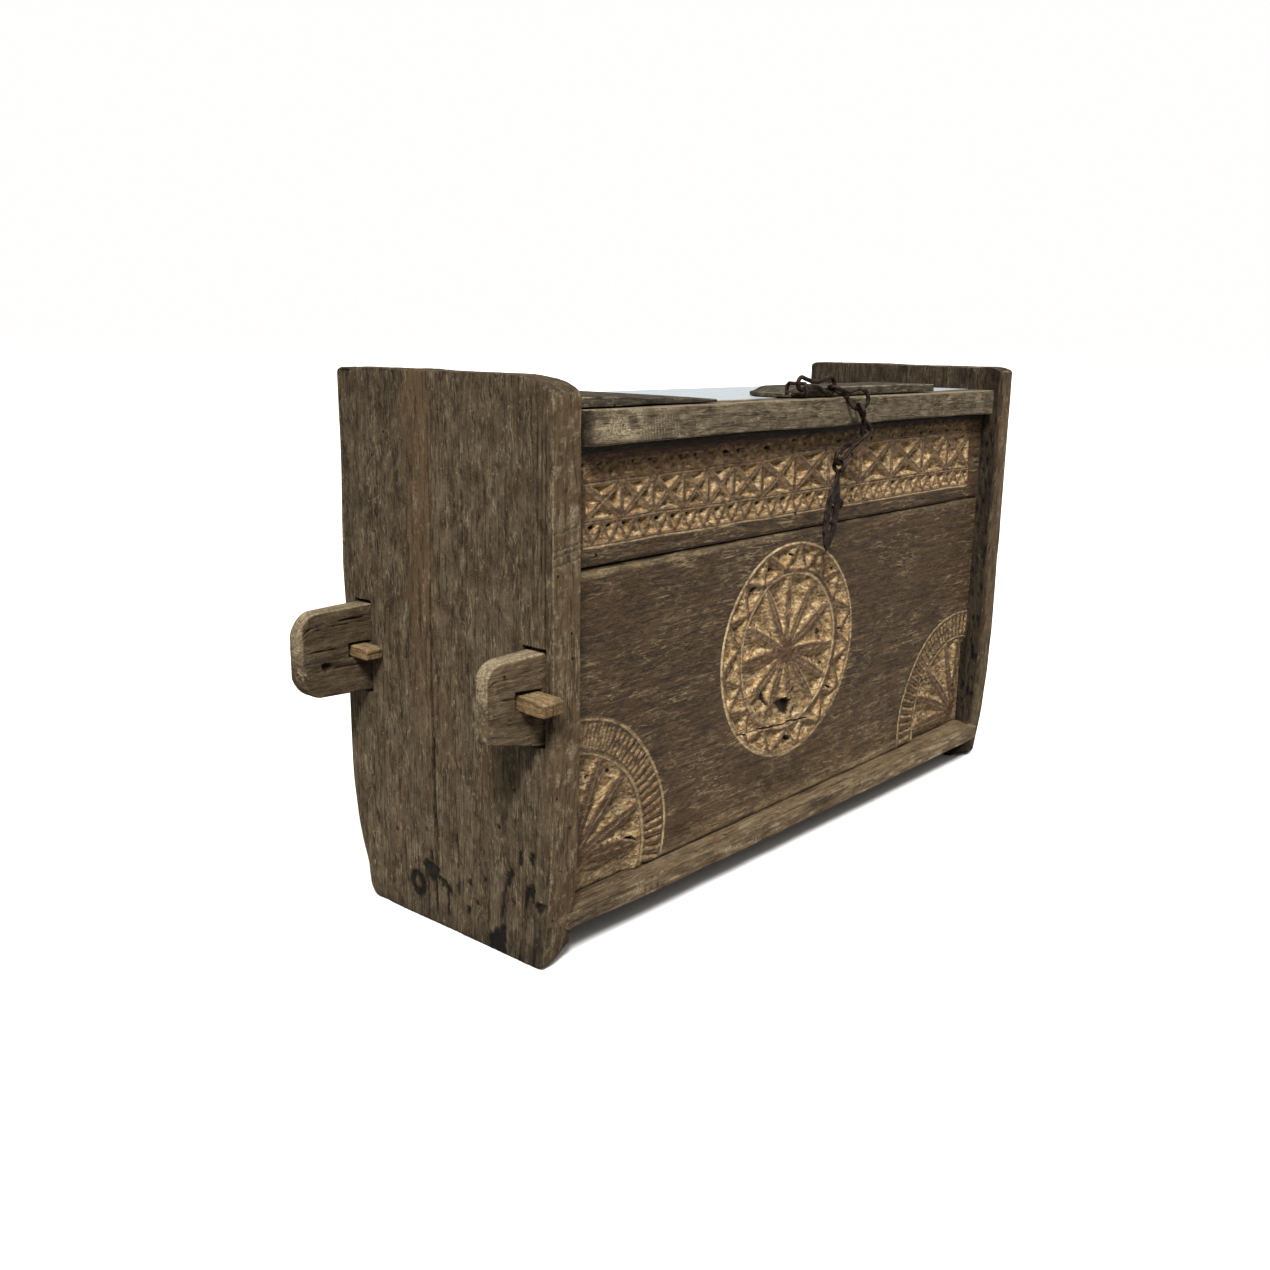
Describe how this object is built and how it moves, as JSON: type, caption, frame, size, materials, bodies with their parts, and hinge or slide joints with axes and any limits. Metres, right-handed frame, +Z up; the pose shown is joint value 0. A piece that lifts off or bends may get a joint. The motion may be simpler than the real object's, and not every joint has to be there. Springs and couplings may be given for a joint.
{
  "type": "storage chest",
  "caption": "Hewn-board storage chest: tall end boards, wedged through tenons, chip-carved front, pivoting lid, forged chain and slotted hasp.",
  "frame": {"origin": "middle of the box's footprint, on the floor", "axes": "+X along the front to the viewer's right, the carved front faces -Y, +Z up"},
  "size_m": [1.0714, 0.349, 0.606],
  "materials": {
    "weathered_wood": "dry, grey-brown, hewn and checked",
    "dark_wood": "dark and worn, with lighter carving",
    "lid_wood": "rubbed smooth by use",
    "wedge_wood": "pale, split and unfinished",
    "forged_iron": "forged, rust-brown"
  },
  "bodies": {
    "chest": {"left_end_board": "weathered_wood", "right_end_board": "weathered_wood", "front_panel": "dark_wood", "frieze_board": "dark_wood", "front_top_rail": "weathered_wood", "front_sill": "weathered_wood", "back_panel": "dark_wood", "back_upper_board": "weathered_wood", "back_top_rail": "weathered_wood", "back_sill": "weathered_wood", "floor_board_front": "weathered_wood", "floor_board_back": "weathered_wood", "front_left_wedge": "wedge_wood", "back_left_wedge": "wedge_wood", "front_right_wedge": "wedge_wood", "back_right_wedge": "wedge_wood", "frieze_staple": "forged_iron"},
    "lid": {"lid_board": "lid_wood", "lid_left_plank": "weathered_wood", "lid_right_plank": "weathered_wood", "lid_staple": "forged_iron"},
    "link_1": {"chain_link_1": "forged_iron"},
    "link_2": {"chain_link_2": "forged_iron"},
    "link_3": {"chain_link_3": "forged_iron"},
    "link_4": {"chain_link_4": "forged_iron"},
    "hasp_plate": {"hasp": "forged_iron"}
  },
  "joints": [
    {"name": "lid_pivot", "type": "hinge", "parent": "chest", "child": "lid", "pos_m": [0.04425, 0.1125, 0.5612], "axis": [-1, 0, 0], "range_deg": [0, 100]},
    {"name": "link_1_swing", "type": "hinge", "parent": "lid", "child": "link_1", "pos_m": [-0.00575, -0.138, 0.5895], "axis": [-0.1483, -0.9889, 0], "range_deg": [0, 60]},
    {"name": "link_2_swing", "type": "hinge", "parent": "link_1", "child": "link_2", "pos_m": [0.05711, -0.14452, 0.58275], "axis": [-0.3271, 0.0339, -0.9444], "range_deg": [0, 40]},
    {"name": "link_3_swing", "type": "hinge", "parent": "link_2", "child": "link_3", "pos_m": [0.0896, -0.16423, 0.55795], "axis": [-0.8241, 0.4998, -0.2667], "range_deg": [0, 45]},
    {"name": "link_4_swing", "type": "hinge", "parent": "link_3", "child": "link_4", "pos_m": [0.09975, -0.16221, 0.52667], "axis": [-0.5283, -0.0547, 0.8473], "range_deg": [0, 45]},
    {"name": "hasp_swing", "type": "hinge", "parent": "link_4", "child": "hasp_plate", "pos_m": [0.04925, -0.1625, 0.4929], "axis": [-1, 0, 0], "range_deg": [0, 60]}
  ]
}
